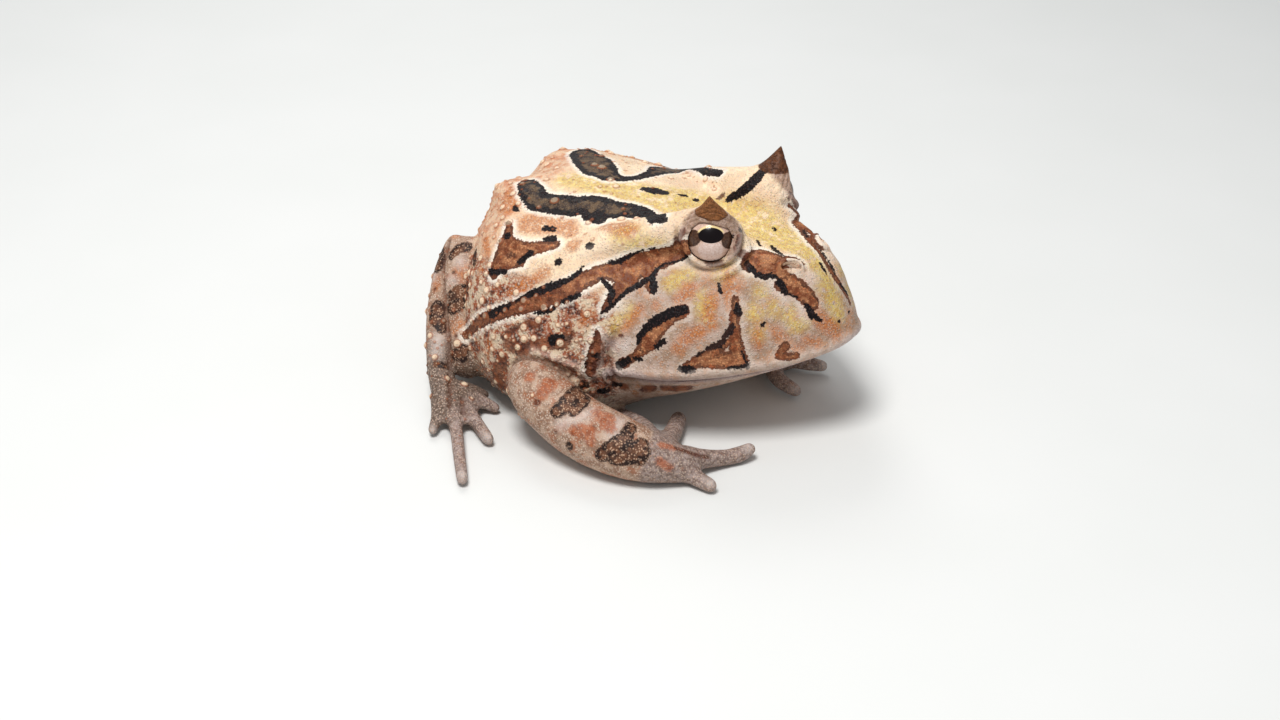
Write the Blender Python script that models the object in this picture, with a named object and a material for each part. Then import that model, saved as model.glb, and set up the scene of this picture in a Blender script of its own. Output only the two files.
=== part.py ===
"""Horned frog (Ceratophrys), life size, sitting on its belly with the head raised.

The frog faces +X, its left side is +Y, and the floor is Z = 0 under the middle of the trunk.
Trunk, head and lower jaw are one lofted body that thin blades part. Limbs are swept tubes, each
cut back from what it grows from or lies against.
Numbers below are millimetres, and MM turns them into metres.
"""

import math

import bmesh
import bpy
import numpy as np
from mathutils import Matrix, Vector

MM = 0.001
GAP = 0.3

# Lines plan of the body, as (x, value) stations from the vent to the snout tip.
HALF_WIDTH = [(-44, 3), (-42, 12), (-37, 23.5), (-28, 33.5), (-15, 38.5), (-4, 38), (3, 34),
              (9, 30.5), (17, 28), (25, 24.5), (33, 19.8), (40, 14), (45, 8.7), (48, 4.6), (49.5, 1)]
TOP = [(-44, 20), (-42, 31), (-37, 39.5), (-28, 44.5), (-15, 46), (0, 45.2), (12, 44.5), (22, 44.5),
       (32, 42.5), (38, 40), (43, 36.5), (47, 31.5), (49.5, 26)]
WIDEST = [(-44, 17), (-30, 16), (-5, 14.5), (4, 16.2), (17, 16.8), (24, 17.6), (32, 19.1),
          (36, 19.8), (41, 20.7), (45, 21.8), (49.5, 23.6)]
BOTTOM = [(-44, 15), (-42, 7), (-37, 1), (-28, -1.6), (-4, -1.8), (4.5, -0.3), (7, 0.9), (12, 3.8),
          (20, 7.6), (30, 12.6), (40, 17.8), (46, 21), (49.5, 23)]
UPPER_ROUNDNESS = [(-44, 2), (-29, 2.12), (-17, 1.86), (-7, 1.84), (6, 1.95), (15, 1.98), (30, 2.0),
                   (49.5, 1.9)]
LOWER_ROUNDNESS = [(-44, 2), (-20, 2.9), (0, 2.7), (8, 2.35), (22, 2.25), (49.5, 2)]
BODY_SECTIONS = 72
BODY_SEGMENTS = 72

# Eyes, and the lids, each drawn up like a tent to the pointed flap of skin that tops it.
# The tent's rings are (x, y, z, half length, half width), and the flap's go on from them.
EYE_CENTRE = Vector((20.8, 12.6, 45.0))
EYE_RADIUS = 5.3
EYE_AXIS = Vector((0.46, 0.74, 0.49)).normalized()
LID_RING = 5.0
LID_RADIUS = 1.0
LID_FORWARD = 2.2
LID_TILT = math.radians(25)
TENT = [(18.6, 8.5, 37, 10.4, 6.5), (18.8, 8.9, 41, 9.6, 6.2), (19.2, 9.6, 44.5, 8.4, 5.6),
        (19.8, 10.8, 47.4, 6.8, 4.8), (20.6, 12.4, 49.7, 5.0, 3.7), (21.0, 13.1, 50.8, 4.0, 3.1)]
HORN = [(21.1, 13.0, 50.5, 3.9, 3.1), (21.4, 13.5, 51.7, 2.8, 2.3), (21.6, 14.2, 53.1, 1.8, 1.5),
        (21.75, 14.8, 54.6, 0.95, 0.8), (21.9, 15.2, 56.0, 0.25, 0.22)]
CREST = [(16.5, 12.8, 46.4, 3.6), (12, 13.8, 44.4, 4.0), (5, 15.8, 41.5, 4.4), (-3, 18.4, 37.8, 4.6),
         (-10, 21, 34.8, 4.4), (-17, 23, 31.5, 3.6)]

# Head features.
NOSTRIL = [(36.2, 8.1, 39.9), (38.4, 6.3, 39.75)]
NOSTRIL_RADIUS = 0.7
SNOUT_X = 49.5
NECK_X = 7.0
MOUTH_DROP = 1.0

# Limbs as (x, y, z, radius) stations with y outward. The two hands lie differently on the floor.
ARMS = {
    -1: {
        "arm": [(-9, 33, 13.5, 6.2), (-5.8, 39.6, 12.8, 6.2), (0.4, 41.0, 10.2, 6.5),
                (7.2, 41.6, 8.1, 6.8), (15.4, 41.5, 6.8, 6.6), (22.6, 40.0, 5.4, 5.6),
                (28.5, 37, 3.9, 4.0)],
        "palm": [(26, 37, 3.4, 4.2), (29, 35, 3.2, 3.6)],
        "first": [(20, 35, 4.6, 3.4), (15.5, 30, 4.2, 2.4), (11, 27.2, 3.4, 2.0),
                  (5.5, 24.5, 2.2, 1.5)],
        "second": [(24, 34.5, 4.4, 3.2), (21.3, 29.5, 3.2, 2.3), (19.4, 24.1, 2.4, 2.1),
                   (17.6, 19.3, 2.2, 1.9)],
        "third": [(28.5, 34.5, 4, 3.0), (31, 31.2, 3, 2.2), (34, 26.8, 2, 1.8),
                  (35.8, 24.4, 2, 1.85), (37.1, 22, 2.6, 1.6)],
        "fourth": [(28.5, 37, 3.8, 3.0), (31.5, 36.9, 2.4, 2.0), (36.8, 37.4, 1.7, 1.6)],
    },
    1: {
        "arm": [(-9, 33, 13.5, 6.2), (-6, 39.4, 12.8, 6.2), (0.4, 40.8, 10.2, 6.5),
                (6.5, 39.8, 8.2, 7.0), (13, 34, 6.7, 6.4), (18, 26.5, 5, 5.2), (21.5, 19, 3.8, 4.0)],
        "palm": [(21, 20, 3.4, 4.2), (24, 15, 3.2, 3.6)],
        "first": [(16.5, 21, 4.4, 3.0), (13, 17, 3.2, 2.0), (9.5, 14, 2, 1.5)],
        "second": [(20, 16, 4.0, 3.0), (17.5, 10, 2.9, 2.1), (15.5, 4.5, 2.2, 1.9)],
        "third": [(23, 14.5, 3.8, 3.0), (25.5, 9, 3.4, 2.2), (28.8, 5.9, 3.0, 1.9),
                  (33.4, 5.4, 2.0, 1.65)],
        "fourth": [(24, 16.5, 3.8, 3.0), (29, 16.3, 2.8, 1.9), (33.2, 18.4, 2.0, 1.5)],
    },
}
ELBOW, WRIST = 3, 5
SHANK = [(-30.8, 31, 8.9, 5.4), (-34, 26.5, 15, 6.0), (-36.6, 24, 22, 5.6), (-37.8, 21, 28, 4.4)]
THIGH = [(-39, 9, 11, 7.5), (-38, 18, 10.5, 8.5), (-34, 27, 9.5, 7.4), (-31.5, 31, 9, 5.2)]
FOOT = {
    "tarsus": [(-40.6, 21.2, 30.0, 2.5), (-41.4, 24.6, 23.5, 2.8), (-39.1, 30.5, 15.5, 3.0),
               (-35.1, 36.3, 8.5, 2.9), (-30.8, 40.4, 5, 3.0), (-27.5, 42.5, 4, 2.8)],
    "sole": [(-28, 41.5, 2.4, 3.0), (-23.5, 44, 1.8, 2.0)],
    "first": [(-28, 37.5, 3.6, 2.6), (-24.6, 33.6, 1.8, 1.3)],
    "second": [(-27, 39, 3.8, 2.6), (-22.4, 37.4, 2.6, 1.6), (-19.4, 36.6, 1.6, 1.3)],
    "third": [(-26.5, 41, 3.8, 2.4), (-19.8, 44, 2.5, 1.6), (-12.9, 48, 1.6, 1.5)],
    "fourth": [(-27, 43.5, 3.8, 2.4), (-21.0, 49, 2.7, 1.6), (-14.6, 56.2, 1.8, 1.5),
               (-8.2, 63.5, 1.6, 1.4)],
    "fifth": [(-30, 43, 3.6, 2.2), (-27.4, 47.5, 2.4, 1.4), (-25.4, 51.6, 1.5, 1.25)],
}
ANKLE = 3
WEB = [("first", "second"), ("second", "third"), ("third", "fourth"), ("fourth", "fifth")]

# Edges sharper than this stay crisp in the shading.
SHARP_ANGLE = math.radians(40)

# Fineness of the fused surfaces, as voxel sizes, and how many triangles each keeps.
BODY_VOXEL, BODY_TRIANGLES, TORSO_TRIANGLES = 0.8, 8400, 2100
LIMB_VOXEL = 0.55
ARM_TRIANGLES, HAND_TRIANGLES = 600, 800
THIGH_TRIANGLES, SHANK_TRIANGLES, FOOT_TRIANGLES = 230, 250, 960


def scaled(value):
    """Millimetres as metres, for a number, a Vector or a tuple."""
    if isinstance(value, (int, float)):
        return value * MM
    return Vector(value) * MM


def mirrored(point, side):
    """The point on the frog's left for side 1, and on its right for side -1."""
    return Vector((point[0], point[1] * side, point[2]))


def station(table, x):
    """A smooth value at x from (x, value) stations: cubic pieces with limited slopes."""
    xs, ys = np.array(table, float).T
    steps = np.diff(xs)
    slopes = np.diff(ys) / steps
    tangents = np.zeros(len(xs))
    same = slopes[:-1] * slopes[1:] > 0
    tangents[1:-1][same] = 2 / (1 / slopes[:-1][same] + 1 / slopes[1:][same])
    tangents[0], tangents[-1] = slopes[0], slopes[-1]
    i = int(np.clip(np.searchsorted(xs, x) - 1, 0, len(steps) - 1))
    t = (x - xs[i]) / steps[i]
    start = ys[i] * (1 + 2 * t) * (1 - t) ** 2 + steps[i] * tangents[i] * t * (1 - t) ** 2
    end = ys[i + 1] * t * t * (3 - 2 * t) - steps[i] * tangents[i + 1] * t * t * (1 - t)
    return start + end


def new_object(name, mesh):
    made = bpy.data.objects.new(name, mesh)
    bpy.context.scene.collection.objects.link(made)
    return made


def loft(name, rings):
    """A closed tube through rings of points in millimetres, with a fan over each end."""
    bm = bmesh.new()
    loops = [[bm.verts.new(scaled(p)) for p in ring] for ring in rings]
    count = len(loops[0])
    for a, b in zip(loops, loops[1:]):
        for i in range(count):
            bm.faces.new((a[i], a[(i + 1) % count], b[(i + 1) % count], b[i]))
    for ring, flip in ((loops[0], True), (loops[-1], False)):
        middle = bm.verts.new(sum((v.co for v in ring), Vector()) / count)
        for i in range(count):
            corners = (ring[i], ring[(i + 1) % count], middle)
            bm.faces.new(corners[::-1] if flip else corners)
    bmesh.ops.recalc_face_normals(bm, faces=bm.faces)
    mesh = bpy.data.meshes.new(name)
    bm.to_mesh(mesh)
    bm.free()
    return new_object(name, mesh)


def body_ring(x):
    """The cross-section at x, from the widest level over the back and round under the belly."""
    width, top, level, bottom, over, under = (
        station(table, x)
        for table in (HALF_WIDTH, TOP, WIDEST, BOTTOM, UPPER_ROUNDNESS, LOWER_ROUNDNESS)
    )
    ring = []
    for i in range(BODY_SEGMENTS):
        turn = 2 * math.pi * i / BODY_SEGMENTS
        c, s = math.cos(turn), math.sin(turn)
        power = 2 / (over if s >= 0 else under)
        reach = top - level if s >= 0 else level - bottom
        y = width * math.copysign(abs(c) ** power, c)
        z = level + reach * math.copysign(abs(s) ** power, s)
        ring.append((x, y, z))
    return ring


def body_loft():
    first, last = HALF_WIDTH[0][0], HALF_WIDTH[-1][0]
    middle, half = (first + last) / 2, (last - first) / 2
    turns = np.linspace(math.pi, 0, BODY_SECTIONS)
    return loft("body", [body_ring(middle + half * math.cos(t)) for t in turns])


def ellipsoid(name, centre, radii, segments=32):
    bm = bmesh.new()
    bmesh.ops.create_uvsphere(bm, u_segments=segments, v_segments=segments // 2, radius=1)
    place = Matrix.Translation(scaled(centre)) @ Matrix.Diagonal((*scaled(radii), 1))
    bm.transform(place)
    mesh = bpy.data.meshes.new(name)
    bm.to_mesh(mesh)
    bm.free()
    return new_object(name, mesh)


def spline(points, values, per_span=6):
    """Catmull-Rom points and values between the given ones."""
    rows = np.hstack([np.array(points, float), np.array(values, float).reshape(len(points), -1)])
    rows = np.vstack([2 * rows[0] - rows[1], rows, 2 * rows[-1] - rows[-2]])
    out = []
    for a, b, c, d in zip(rows, rows[1:], rows[2:], rows[3:]):
        for t in np.arange(per_span) / per_span:
            out.append(0.5 * (2 * b + (c - a) * t + (2 * a - 5 * b + 4 * c - d) * t * t
                              + (3 * b - a - 3 * c + d) * t ** 3))
    out.append(rows[-2])
    out = np.array(out)
    return out[:, :3], out[:, 3:]


def limb(name, points, radii, segments=14, per_span=5):
    """A tube of varying radius with round ends."""
    line, radius = spline(points, radii, per_span)
    radius = radius[:, 0]
    line = [Vector(p) for p in line]
    tangents = [(b - a).normalized() for a, b in zip(line, line[1:])]
    tangents = [tangents[0]] + [(a + b).normalized() for a, b in zip(tangents, tangents[1:])]
    tangents.append((line[-1] - line[-2]).normalized())
    stations = []
    for turn in (80, 55, 28):
        back = math.sin(math.radians(turn)) * radius[0]
        stations.append((line[0] - tangents[0] * back, tangents[0],
                         radius[0] * math.cos(math.radians(turn))))
    stations += list(zip(line, tangents, radius))
    for turn in (28, 55, 80):
        ahead = math.sin(math.radians(turn)) * radius[-1]
        stations.append((line[-1] + tangents[-1] * ahead, tangents[-1],
                         radius[-1] * math.cos(math.radians(turn))))
    rings = []
    side = tangents[0].cross(Vector((0, 0, 1))).normalized()
    for centre, along, r in stations:
        side = (side - along * side.dot(along)).normalized()
        up = side.cross(along)
        rings.append([centre + side * (r * math.cos(a)) + up * (r * math.sin(a))
                      for a in (2 * math.pi * i / segments for i in range(segments))])
    return loft(name, rings)


def evaluated(obj):
    """The object's mesh with its modifiers applied, in place of its own."""
    graph = bpy.context.evaluated_depsgraph_get()
    mesh = bpy.data.meshes.new_from_object(obj.evaluated_get(graph))
    obj.modifiers.clear()
    old, obj.data = obj.data, mesh
    bpy.data.meshes.remove(old)
    return obj


def joined(name, pieces):
    """The pieces as one object, still overlapping."""
    bm = bmesh.new()
    for piece in pieces:
        bm.from_mesh(piece.data)
        bpy.data.objects.remove(piece)
    mesh = bpy.data.meshes.new(name)
    bm.to_mesh(mesh)
    bm.free()
    return new_object(name, mesh)


def fused(name, pieces, voxel, smoothing=4):
    """The pieces melted into one closed skin of even quads."""
    whole = joined(name, pieces)
    remesh = whole.modifiers.new("melt", "REMESH")
    remesh.mode = "VOXEL"
    remesh.voxel_size = scaled(voxel)
    smooth = whole.modifiers.new("ease", "SMOOTH")
    smooth.factor = 0.5
    smooth.iterations = smoothing
    return evaluated(whole)


def thinned(obj, triangles):
    """The object with about that many triangles, most of them where it curves."""
    obj.modifiers.new("triangles", "TRIANGULATE")
    decimate = obj.modifiers.new("thin", "DECIMATE")
    now = sum(len(p.vertices) - 2 for p in obj.data.polygons)
    decimate.ratio = min(1.0, triangles / now)
    return evaluated(obj)


def path_distance(points, path):
    """How far each point is from a line of straight stretches."""
    nearest = np.full(len(points), 1e9)
    if len(path) == 1:
        return np.linalg.norm(points - np.array(path[0]), axis=1)
    for a, b in zip(np.array(path[:-1], float), np.array(path[1:], float)):
        t = np.clip((points - a) @ (b - a) / ((b - a) @ (b - a)), 0, 1)
        nearest = np.minimum(nearest, np.linalg.norm(points - a - t[:, None] * (b - a), axis=1))
    return nearest


def brush(obj, path, radius, height):
    """Raises, or for a negative height sinks, the surface along a path, as a sculpting tool does."""
    mesh = obj.data
    count = len(mesh.vertices)
    points = np.empty(count * 3)
    mesh.vertices.foreach_get("co", points)
    points = points.reshape(-1, 3) / MM
    normals = np.array([v.normal for v in mesh.vertices])
    closeness = np.clip(1 - (path_distance(points, path) / radius) ** 2, 0, 1) ** 2
    points += normals * (height * closeness)[:, None]
    mesh.vertices.foreach_set("co", (points * MM).ravel())
    mesh.update()


def both_sides(obj, path, radius, height):
    for side in (-1, 1):
        brush(obj, [mirrored(p, side) for p in path], radius, height)


def settle(obj):
    """Flattens what reaches the floor."""
    for v in obj.data.vertices:
        v.co.z = max(v.co.z, 0.0)


def boolean(obj, operation, others, solver="EXACT"):
    """Applies one Boolean with a collection of objects, which are then removed."""
    tools = bpy.data.collections.new("tools")
    for other in others:
        tools.objects.link(other)
    modifier = obj.modifiers.new(operation.lower(), "BOOLEAN")
    modifier.operation = operation
    modifier.operand_type = "COLLECTION"
    modifier.collection = tools
    modifier.solver = solver
    evaluated(obj)
    for other in list(tools.objects):
        bpy.data.objects.remove(other)
    bpy.data.collections.remove(tools)
    return obj


def islands(obj):
    """The closed surfaces of the object, each as an object of its own, largest first."""
    bm = bmesh.new()
    bm.from_mesh(obj.data)
    left = set(bm.verts)
    groups = []
    while left:
        edge, group = [left.pop()], []
        while edge:
            v = edge.pop()
            group.append(v.index)
            for e in v.link_edges:
                w = e.other_vert(v)
                if w in left:
                    left.discard(w)
                    edge.append(w)
        groups.append(group)
    bm.free()
    made = []
    for group in groups:
        keep = set(group)
        bm = bmesh.new()
        bm.from_mesh(obj.data)
        bmesh.ops.delete(bm, geom=[v for v in bm.verts if v.index not in keep], context="VERTS")
        volume = bm.calc_volume()
        mesh = bpy.data.meshes.new("island")
        bm.to_mesh(mesh)
        bm.free()
        made.append((volume, new_object("island", mesh)))
    bpy.data.objects.remove(obj)
    return [o for _, o in sorted(made, key=lambda pair: -pair[0])]


def largest(obj):
    name = obj.name
    found = islands(obj)
    for scrap in found[1:]:
        bpy.data.objects.remove(scrap)
    found[0].name = name
    return found[0]


def around(obj):
    """A mesh a thin gap larger than the object, for cutting its neighbours back."""
    mesh = obj.data.copy()
    normals = [v.normal.copy() for v in mesh.vertices]
    for v, n in zip(mesh.vertices, normals):
        v.co += n * scaled(GAP)
    return mesh


def cleared(obj, rooms):
    """The object cut back to the outside of the meshes, as its largest piece."""
    boolean(obj, "DIFFERENCE", [new_object("room", room.copy()) for room in rooms])
    return largest(obj)


def blade(name, centre, size, turn=Matrix.Identity(4)):
    """A thin box that parts what it crosses."""
    bm = bmesh.new()
    bmesh.ops.create_cube(bm, size=1)
    place = Matrix.Translation(scaled(centre)) @ turn @ Matrix.Diagonal((*scaled(size), 1))
    bm.transform(place)
    mesh = bpy.data.meshes.new(name)
    bm.to_mesh(mesh)
    bm.free()
    return new_object(name, mesh)


def material(name, colour, roughness, metallic=0.0):
    made = bpy.data.materials.new(name)
    made.use_nodes = True
    shader = made.node_tree.nodes["Principled BSDF"]
    shader.inputs["Base Color"].default_value = (*colour, 1)
    shader.inputs["Roughness"].default_value = roughness
    shader.inputs["Metallic"].default_value = metallic
    return made


def mouth_level(x):
    """The height of the lip at x."""
    return station(WIDEST, min(x, SNOUT_X))


def mouth_blade():
    """A thin sheet along the mouth line, from the neck cut to past the snout."""
    rows = []
    for x in np.linspace(NECK_X, SNOUT_X + 6, 14):
        low, high = (mouth_level(x) - MOUTH_DROP + h for h in (-GAP / 2, GAP / 2))
        rows.append([(x, -60, low), (x, 60, low), (x, 60, high), (x, -60, high)])
    return loft("mouth_blade", rows)


def lid_ring(side):
    """The rounded rim of the two lids, leaning so that the upper lid covers more of the eye."""
    axis = mirrored(EYE_AXIS, side)
    across = axis.cross(Vector((0, 0, 1))).normalized()
    facing = Matrix.Rotation(-LID_TILT, 3, across) @ axis
    centre = mirrored(EYE_CENTRE, side) + facing * LID_FORWARD
    over = across.cross(facing)
    count = 28
    points = []
    for i in range(count):
        turn = 2 * math.pi * i / count
        points.append(centre + (across * math.cos(turn) + over * math.sin(turn)) * LID_RING)
    return ring_of("lid", points, centre, facing, LID_RADIUS)


def stacked(name, levels, side, segments=16):
    """A closed shape through level oval rings (x, y, z, half length, half width)."""
    line = [mirrored(level, side) for level in levels]
    centres, halves = spline(line, [level[3:] for level in levels], 2)
    return loft(name, [[Vector(c) + Vector((h[0] * math.cos(a), h[1] * math.sin(a), 0))
                        for a in (2 * math.pi * i / segments for i in range(segments))]
                       for c, h in zip(centres, halves)])


def ring_of(name, points, centre, facing, radius, segments=10):
    """A closed round bar through the points of a ring that faces one way."""
    bm = bmesh.new()
    bars = []
    for point in points:
        out = (point - centre).normalized()
        bars.append([bm.verts.new(scaled(point + out * (radius * math.cos(a))
                                         + facing * (radius * math.sin(a))))
                     for a in (2 * math.pi * j / segments for j in range(segments))])
    for a, b in zip(bars, bars[1:] + bars[:1]):
        for j in range(segments):
            k = (j + 1) % segments
            bm.faces.new((a[j], a[k], b[k], b[j]))
    bmesh.ops.recalc_face_normals(bm, faces=bm.faces)
    mesh = bpy.data.meshes.new(name)
    bm.to_mesh(mesh)
    bm.free()
    return new_object(name, mesh)


def shape_body(body):
    """The ridges, hollows and lips of the head and back."""
    lip = [(x, station(HALF_WIDTH, x), mouth_level(x)) for x in (8, 16, 24, 32, 38, 43, 46.5, 48.6)]
    both_sides(body, lip, 3.0, 0.5)
    both_sides(body, [(x, y, z - 3.2) for x, y, z in lip], 3.0, -1.1)
    both_sides(body, [(27, 13, 43), (33, 8.8, 42), (38, 6.5, 40), (44, 4.5, 36)], 4.5, 1.0)
    brush(body, [(12, 0, 46), (30, 0, 44)], 8.5, -2.0)
    both_sides(body, [(31, 15, 34), (38, 11, 32)], 6.0, -0.9)
    both_sides(body, [(13, 16.5, 43), (4, 22, 41), (-8, 27, 38), (-24, 24, 40), (-34, 12, 43)],
               5.0, 0.6)
    both_sides(body, [(-28, 13, 43)], 6.0, 0.9)
    both_sides(body, [(-36.5, 10.5, 42)], 7.5, 3.2)
    brush(body, [(-37, 0, 40), (-30, 0, 44)], 6.0, -1.2)
    both_sides(body, NOSTRIL, 2.0, 0.45)


def build_body():
    """Trunk, head and lower jaw, fused, shaped and parted. Gives the head and the body's room."""
    pieces = [body_loft()]
    for side in (-1, 1):
        pieces.append(stacked("tent", TENT, side))
        pieces.append(limb_of("crest", CREST, side))
        pieces.append(lid_ring(side))
    body = fused("body", pieces, BODY_VOXEL, 5)
    shape_body(body)
    settle(body)
    thinned(body, BODY_TRIANGLES)
    room = around(body)
    pits = [limb("nostril", [mirrored(p, side) for p in NOSTRIL], [NOSTRIL_RADIUS] * 2, 12)
            for side in (-1, 1)]
    boolean(body, "DIFFERENCE", [blade("neck", (NECK_X, 0, 25), (GAP, 120, 120)), mouth_blade(), *pits])
    torso, head, jaw, *scraps = islands(body)
    for scrap in scraps:
        bpy.data.objects.remove(scrap)
    torso.name, head.name, jaw.name = "torso", "head", "lower_jaw"
    thinned(torso, TORSO_TRIANGLES)
    return head, room


def limb_of(name, stations, side, **options):
    """A tube through (x, y, z, radius) stations of one side of the frog."""
    return limb(name, [mirrored(s, side) for s in stations], [s[3] for s in stations], **options)


def crossing(points, index, size):
    """A blade across a limb at one of its stations."""
    at, before, after = (Vector(points[i][:3]) for i in (index, index - 1, index + 1))
    turn = (after - before).to_track_quat("X", "Z").to_matrix().to_4x4()
    return blade("crossing", at, (GAP, size, size), turn)


def parted(obj, cuts, places):
    """The object cut by blades into as many pieces as there are named places to be nearest to."""
    boolean(obj, "DIFFERENCE", cuts)
    pieces = islands(obj)
    for scrap in pieces[len(places):]:
        bpy.data.objects.remove(scrap)
    pieces = pieces[:len(places)]
    for name, place in places.items():
        piece = min(pieces, key=lambda p: (middle_of(p) - place).length)
        pieces.remove(piece)
        piece.name = name
        yield piece


def middle_of(obj):
    return sum((Vector(corner) for corner in obj.bound_box), Vector()) / 8 / MM


def side_name(part, side):
    return f"{part}_{'left' if side > 0 else 'right'}"


def build_arm(side, room):
    """Upper arm and forearm of one tube, and the hand with its four fingers at the tube's end."""
    shapes = dict(ARMS[side])
    line = shapes.pop("arm")
    arm = fused("arm", [limb_of("tube", line, side, segments=24)], LIMB_VOXEL)
    settle(arm)
    thinned(arm, ARM_TRIANGLES)
    middles = [mirrored(s, side) for s in line]
    cuts = [crossing(middles, ELBOW, 26), crossing(middles, WRIST, 26)]
    places = {side_name("upper_arm", side): middles[1], side_name("forearm", side): middles[4],
              "wrist": middles[-1]}
    upper, forearm, wrist = parted(arm, cuts, places)
    bpy.data.objects.remove(wrist)
    own = around(forearm)
    cleared(upper, [room])
    cleared(forearm, [room])
    pieces = [limb_of("wrist", line[WRIST - 1:], side, segments=24)]
    pieces += [limb_of(part, stations, side, segments=20) for part, stations in shapes.items()]
    hand = fused(side_name("hand", side), pieces, LIMB_VOXEL)
    settle(hand)
    thinned(hand, HAND_TRIANGLES)
    cleared(hand, [room, own])


def web(line_a, line_b, side):
    """A thin fold of skin between the bases of two toes."""
    a, b = (mirrored(line[1], side) for line in (line_a, line_b))
    start = mirrored(line_a[0], side)
    return limb("web", [start, (a + b) / 2 * 0.9 + start * 0.1], [2.2, 1.0], segments=12)


def build_leg(side, room):
    """Shank, tarsus, and foot with its five toes, cut clear of the body and the thigh."""
    rooms = [room]
    for part, line, triangles in (("shank", SHANK, SHANK_TRIANGLES),
                                  ("thigh", THIGH, THIGH_TRIANGLES)):
        piece = fused(part, [limb_of(part, line, side, segments=24)], LIMB_VOXEL)
        settle(piece)
        thinned(piece, triangles)
        piece.name = side_name(part, side)
        own = around(piece)
        cleared(piece, rooms)
        rooms.append(own)
    pieces = [limb_of(part, line, side, segments=20) for part, line in FOOT.items()]
    pieces += [web(FOOT[a], FOOT[b], side) for a, b in WEB]
    foot = fused("foot", pieces, LIMB_VOXEL)
    settle(foot)
    thinned(foot, FOOT_TRIANGLES)
    line = [mirrored(s, side) for s in FOOT["tarsus"]]
    places = {side_name("tarsus", side): line[1], side_name("foot", side): line[-1]}
    for piece in list(parted(foot, [crossing(line, ANKLE, 12)], places)):
        cleared(piece, rooms)


def build_eye(side):
    centre = mirrored(EYE_CENTRE, side)
    return ellipsoid(side_name("eye", side), centre, (EYE_RADIUS,) * 3, 18)


def build_horn(side, room):
    """The pointed flap of skin that stands on the upper lid."""
    cleared(stacked(side_name("horn", side), HORN, side), [room])


def paint():
    """One plain finish for each kind of sub-part."""
    skin = material("skin", (0.62, 0.44, 0.30), 0.55)
    limb_skin = material("limb_skin", (0.50, 0.38, 0.30), 0.6)
    eye = material("eye", (0.55, 0.42, 0.36), 0.08)
    horn = material("horn", (0.40, 0.24, 0.14), 0.6)
    for obj in bpy.data.objects:
        kind = obj.name.rsplit("_", 1)[0]
        finish = {"eye": eye, "horn": horn}.get(kind, limb_skin)
        if obj.name in ("torso", "head", "lower_jaw"):
            finish = skin
        obj.data.materials.clear()
        obj.data.materials.append(finish)
        obj.data.shade_smooth()
        obj.data.set_sharp_from_angle(angle=SHARP_ANGLE)


def main():
    for old in list(bpy.data.objects):
        bpy.data.objects.remove(old)
    head, room = build_body()
    for side in (-1, 1):
        head = cleared(head, [around(build_eye(side))])
        build_horn(side, room)
        build_leg(side, room)
        build_arm(side, room)
    paint()


main()
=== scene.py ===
import math
import bmesh
import bpy
import numpy as np
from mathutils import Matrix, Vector
from mathutils.bvhtree import BVHTree
from mathutils.kdtree import KDTree


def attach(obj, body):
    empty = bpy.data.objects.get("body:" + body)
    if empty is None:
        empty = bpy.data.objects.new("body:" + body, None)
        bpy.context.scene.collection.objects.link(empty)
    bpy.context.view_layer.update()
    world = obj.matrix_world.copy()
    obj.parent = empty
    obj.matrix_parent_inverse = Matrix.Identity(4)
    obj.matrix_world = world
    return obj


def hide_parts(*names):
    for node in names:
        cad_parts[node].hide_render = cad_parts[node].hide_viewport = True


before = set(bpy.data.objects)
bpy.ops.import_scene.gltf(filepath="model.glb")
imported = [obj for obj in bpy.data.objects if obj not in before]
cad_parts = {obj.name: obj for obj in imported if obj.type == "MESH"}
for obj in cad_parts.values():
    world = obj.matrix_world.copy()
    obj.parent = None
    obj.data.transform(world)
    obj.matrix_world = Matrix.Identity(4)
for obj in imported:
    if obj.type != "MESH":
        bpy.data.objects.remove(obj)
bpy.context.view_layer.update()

# A horned frog at rest. It faces +X, its left is +Y, and the floor is Z = 0.
# Lengths and places are in millimetres unless a comment says otherwise; meshes are made in metres.
MM = 0.001
FLESH = sorted(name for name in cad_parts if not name.startswith("eye_"))

# A share of the swelling is taken back at the end.
VOXEL = 0.3
SWELL, TAKEN_BACK = 0.22, 0.8

# The left eye and the direction it looks in; the right one mirrors it. The ball is a little smaller
# than its node, and the lids stay a little outside it.
EYE_CENTRE, EYE_RADIUS = (20.8, 12.6, 45.0), 5.3
EYE_AXIS = (0.46, 0.74, 0.49)
BALL_INSET, LID_GAP = 0.05, 0.08

# The middle of the right nostril.
NOSTRIL = (36.8, -6.7, 40)

# How far round the eyes, the nostrils and the mouth the faces are halved.
FINE_EYE, FINE_NOSTRIL, FINE_MOUTH = 9.5, 3.5, 1.3

# A ridge along each lip and the groove of the mouth between them: how far each runs above the
# line of the mouth, its height and its width.
LIPS = ((2.0, 0.5, 1.2), (-1.6, 0.3, 0.8), (0, -0.9, 0.5))

# Warts: the share of points that may bear one where wart_chance() is 1, the least radius and how
# much larger it can be, and the height and the spacing in radii.
WART_SHARE = 0.02
WART_RADIUS, WART_SPREAD = 0.42, 0.8
WART_HEIGHT, WART_SPACING = 0.6, 2.1

# Strokes are felt up to REACH round their points, and everything beyond counts as FAR away.
REACH, FAR = 12, 99.0

# The camera of the photograph, fitted to it: its turn from the side, its rise, how far it stands
# from the point it looks at, and its focal length in pixels of the 1280 x 720 picture.
CAMERA_TURN, CAMERA_RISE, CAMERA_AWAY = 32.8, 30.2, 450
CAMERA_AIM = (-4.9, 0, 0.6)
PHOTO_WIDTH, PHOTO_HEIGHT, PHOTO_FOCAL = 1280, 720, 1936


def vector(values):
    return np.array(values, float)


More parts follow.
